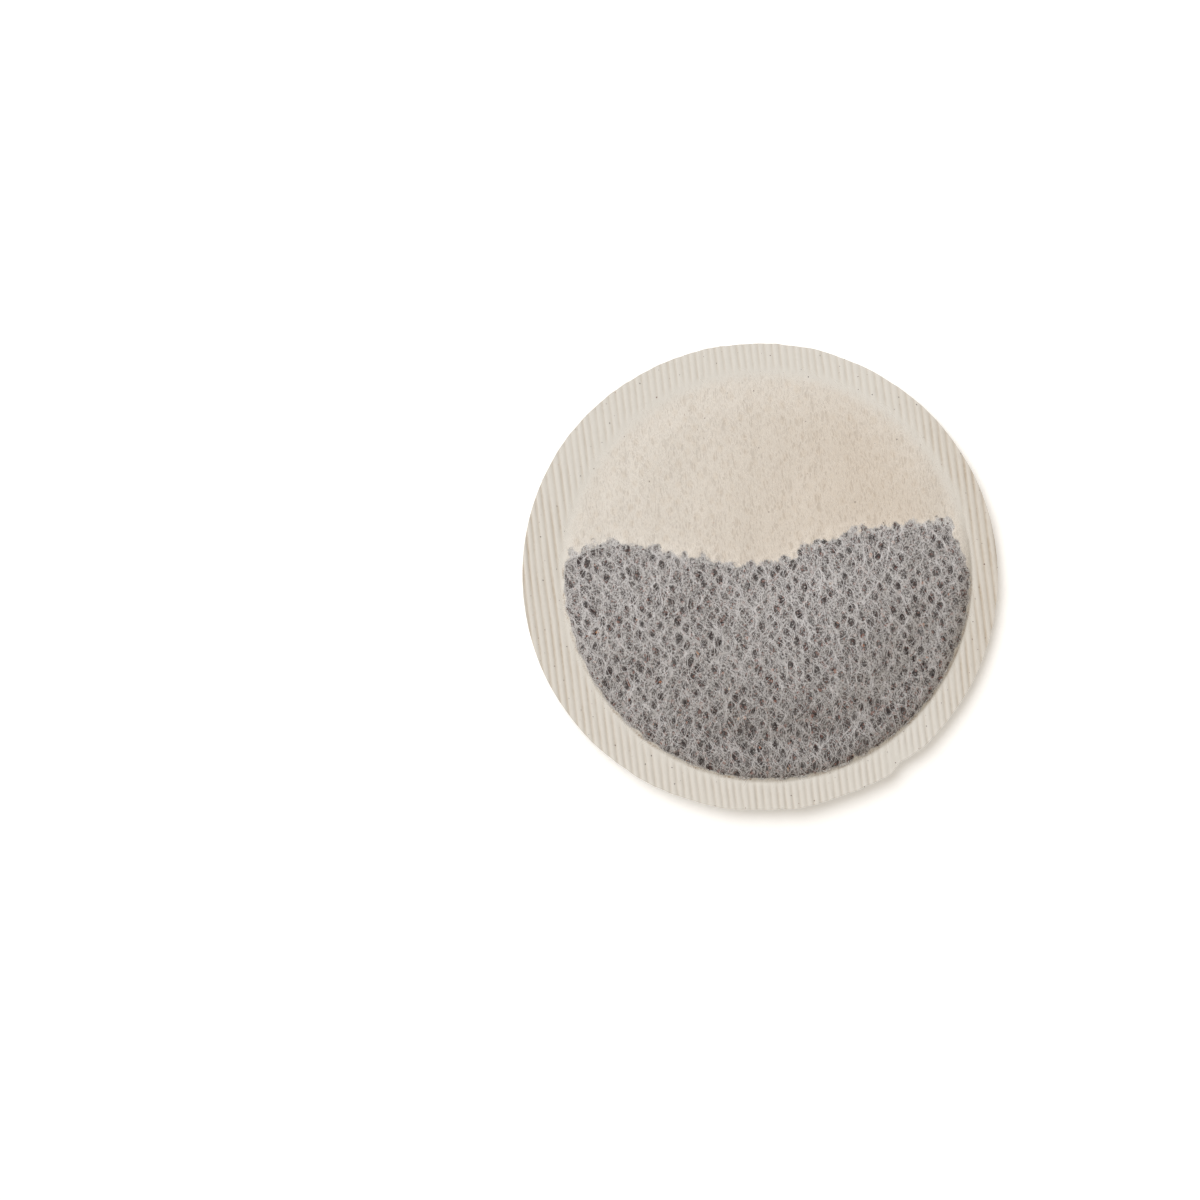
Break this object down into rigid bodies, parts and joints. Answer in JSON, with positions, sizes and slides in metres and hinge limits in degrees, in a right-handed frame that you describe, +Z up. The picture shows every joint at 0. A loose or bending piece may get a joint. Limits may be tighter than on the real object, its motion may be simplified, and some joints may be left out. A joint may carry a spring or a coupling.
{
  "type": "round tea bag",
  "caption": "Round tea bag: two discs of crimped filter paper sealed round a bed of loose tea, lying flat with the tea settled to one side.",
  "frame": {"origin": "centre of the bag's bounding box at its base, on the surface it lies on", "axes": "+Z up, out of the surface the bag lies on; +Y along the paper's machine direction, which the crimp ribs follow; the tea has settled towards -Y"},
  "size_m": [0.062, 0.062, 0.0064],
  "materials": {
    "filter_paper": "matte heat-seal non-woven, partly see-through",
    "dried_tea": "dull dry granules"
  },
  "bodies": {
    "root": {"lower_paper": "filter_paper", "tea_fill": "dried_tea", "upper_paper": "filter_paper"}
  },
  "joints": []
}
